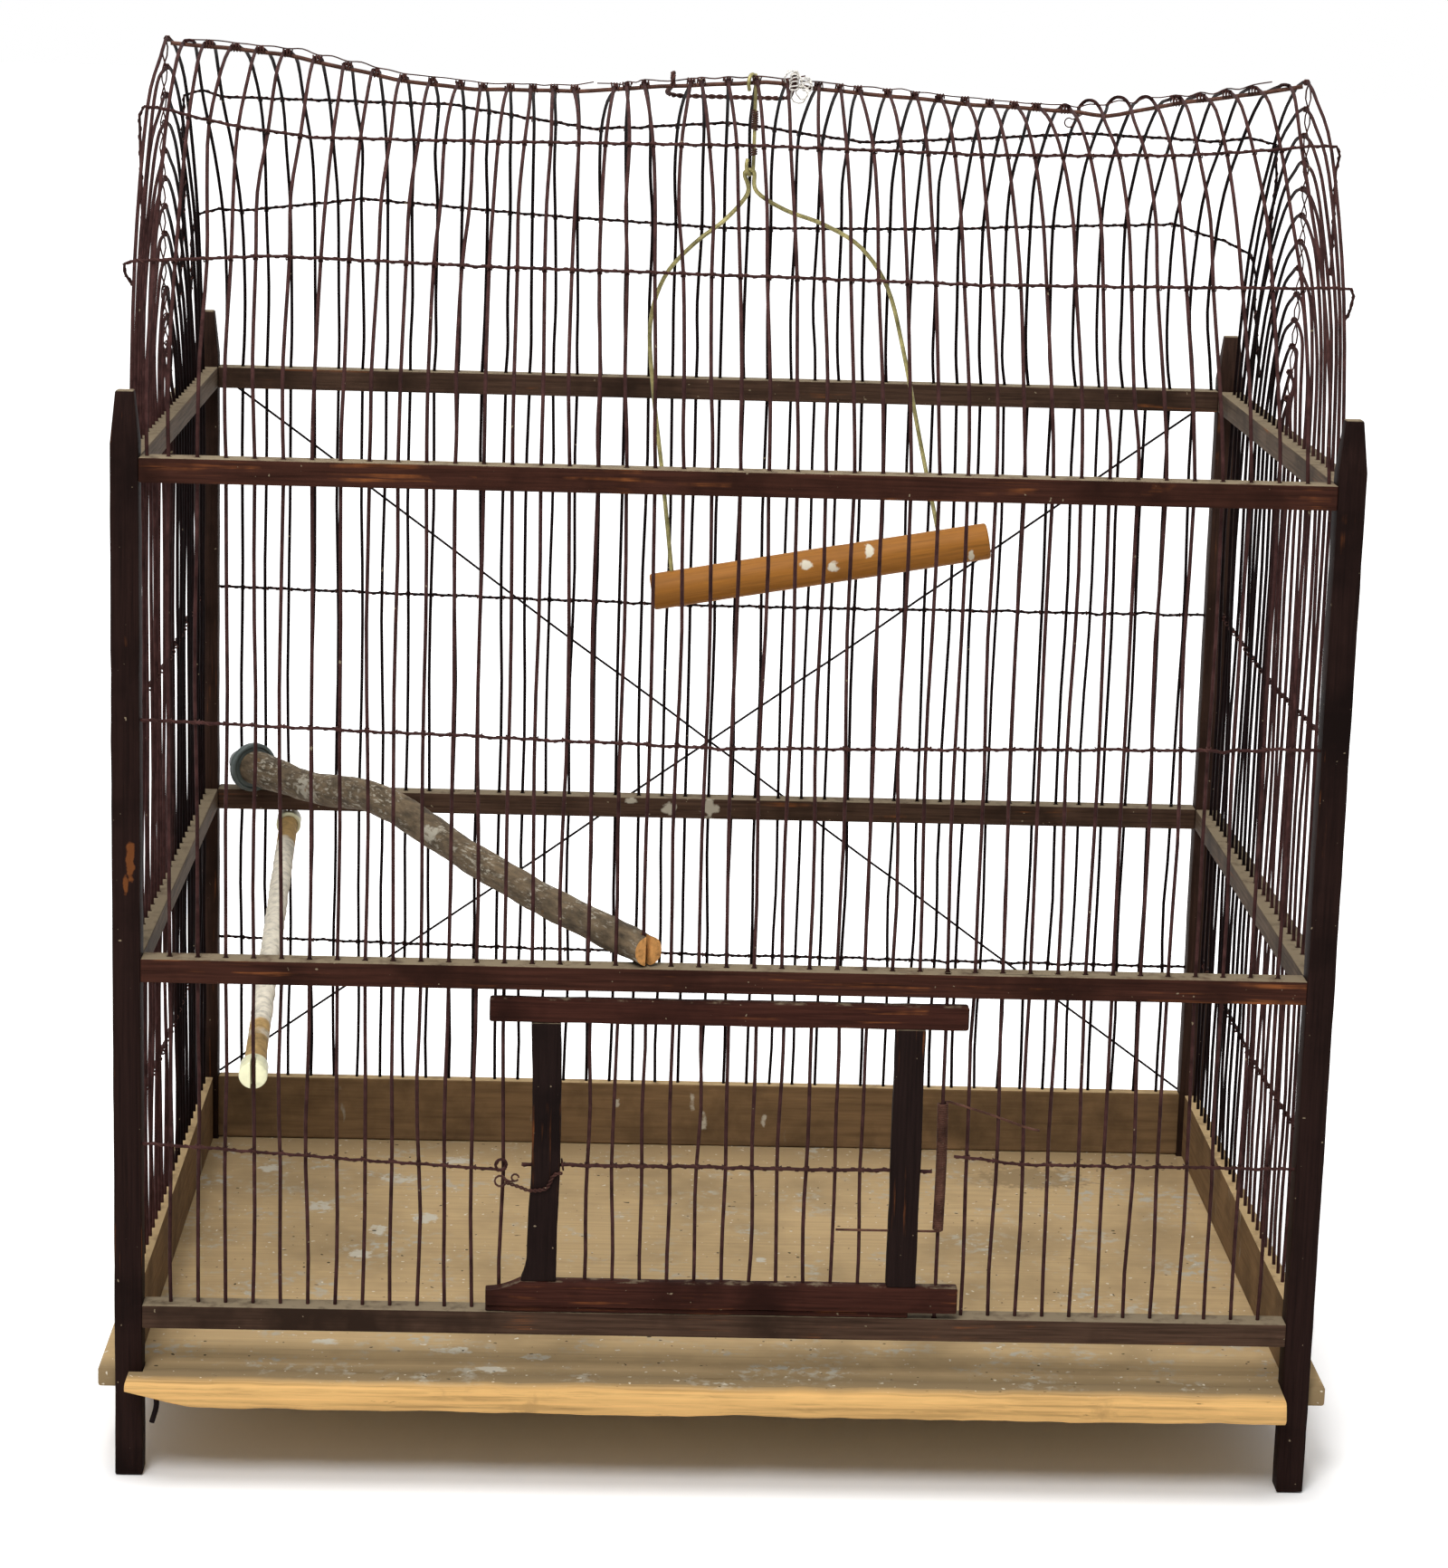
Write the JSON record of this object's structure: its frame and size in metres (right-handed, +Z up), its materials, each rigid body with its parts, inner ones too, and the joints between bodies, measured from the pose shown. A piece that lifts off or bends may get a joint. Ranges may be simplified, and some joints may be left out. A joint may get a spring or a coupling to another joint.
{
  "type": "wire birdcage",
  "caption": "Free-standing wooden birdcage with upright wires, an arched wire roof, a sprung wire door, a swing, perches and a carrying handle.",
  "frame": {"origin": "on the ground, under the middle of the whole cage", "axes": "+X to the right of a person who faces the door, +Y from the door to the back, +Z up"},
  "size_m": [0.544, 0.371, 0.6198],
  "materials": {
    "stained_wood": "old dark red-brown stain, worn",
    "weathered_wood": "bare, grey-brown, stained by use",
    "floor_wood": "bare, dusty, with pale droppings and a raw pine front edge",
    "rusty_wire": "thin steel wire under brown rust",
    "pale_wire": "dull pale yellow metal",
    "beech": "smooth turned beech",
    "dowel_wood": "yellow-brown, crusted white along its middle",
    "bark": "grey bark with pale streaks, orange cut end",
    "cream_plastic": "satin moulded",
    "grey_plastic": "satin moulded",
    "thread": "white cotton thread"
  },
  "bodies": {
    "cage": {"post_front_left": "stained_wood", "post_front_right": "stained_wood", "post_back_left": "stained_wood", "post_back_right": "stained_wood", "top_rail_front": "stained_wood", "top_rail_back": "stained_wood", "top_rail_left": "stained_wood", "top_rail_right": "stained_wood", "mid_rail_front": "stained_wood", "mid_rail_back": "stained_wood", "mid_rail_left": "stained_wood", "mid_rail_right": "stained_wood", "bottom_rail_front": "stained_wood", "bottom_board_back": "weathered_wood", "bottom_board_left": "weathered_wood", "bottom_board_right": "weathered_wood", "floor_board": "floor_wood", "floor_nail": "rusty_wire", "roof_hoops_left": "rusty_wire", "roof_hoops_centre": "rusty_wire", "roof_hoops_right": "rusty_wire", "gable_wires_left": "rusty_wire", "gable_wires_right": "rusty_wire", "ridge_rod": "rusty_wire", "roof_wire_front_upper": "rusty_wire", "roof_wire_front_lower": "rusty_wire", "roof_wire_back_upper": "rusty_wire", "roof_wire_back_lower": "rusty_wire", "wall_wire_front_upper": "rusty_wire", "wall_wire_front_lower_left": "rusty_wire", "wall_wire_front_lower_right": "rusty_wire", "wall_wire_back_upper": "rusty_wire", "wall_wire_back_lower": "rusty_wire", "wall_wire_left_upper": "rusty_wire", "wall_wire_left_lower": "rusty_wire", "wall_wire_right_upper": "rusty_wire", "wall_wire_right_lower": "rusty_wire", "back_brace_falling": "rusty_wire", "back_brace_rising": "rusty_wire", "hinge_wire": "rusty_wire", "door_sill": "stained_wood", "door_spring": "rusty_wire", "branch_perch": "bark", "branch_cap": "grey_plastic", "dowel_perch": "dowel_wood", "dowel_cap_front": "cream_plastic", "dowel_cap_back": "cream_plastic"},
    "door": {"door_top_bar": "stained_wood", "door_bottom_bar": "stained_wood", "door_stile_left": "stained_wood", "door_stile_right": "stained_wood", "door_wires": "rusty_wire"},
    "latch": {"latch_link": "rusty_wire"},
    "handle": {"carrying_handle": "rusty_wire"},
    "hook": {"swing_hook": "pale_wire"},
    "swing": {"swing_wire": "pale_wire", "swing_bar": "beech"}
  },
  "joints": [
    {"name": "door_hinge", "type": "hinge", "parent": "cage", "child": "door", "pos_m": [0.096, -0.1669, 0.15], "axis": [0, 0, 1], "range_deg": [0, 105], "stiffness_Nm_per_rad": 0.03, "springref_deg": -28.65, "deforming": ["door_spring"]},
    {"name": "latch_tip", "type": "hinge", "parent": "door", "child": "latch", "pos_m": [-0.069, -0.1669, 0.1465], "axis": [-1, 0, 0], "range_deg": [0, 60]},
    {"name": "handle_fold", "type": "hinge", "parent": "cage", "child": "handle", "pos_m": [-0.006, 0.0045, 0.60583], "axis": [1, 0, 0], "range_deg": [0, 195]},
    {"name": "hook_tip", "type": "hinge", "parent": "cage", "child": "hook", "pos_m": [0.006, 0.0045, 0.60594], "axis": [1, 0, 0], "range_deg": [-30, 30]},
    {"name": "swing_rock", "type": "hinge", "parent": "hook", "child": "swing", "pos_m": [0.006, 0.0045, 0.565], "axis": [0, 1, 0], "range_deg": [-16, 38]}
  ]
}
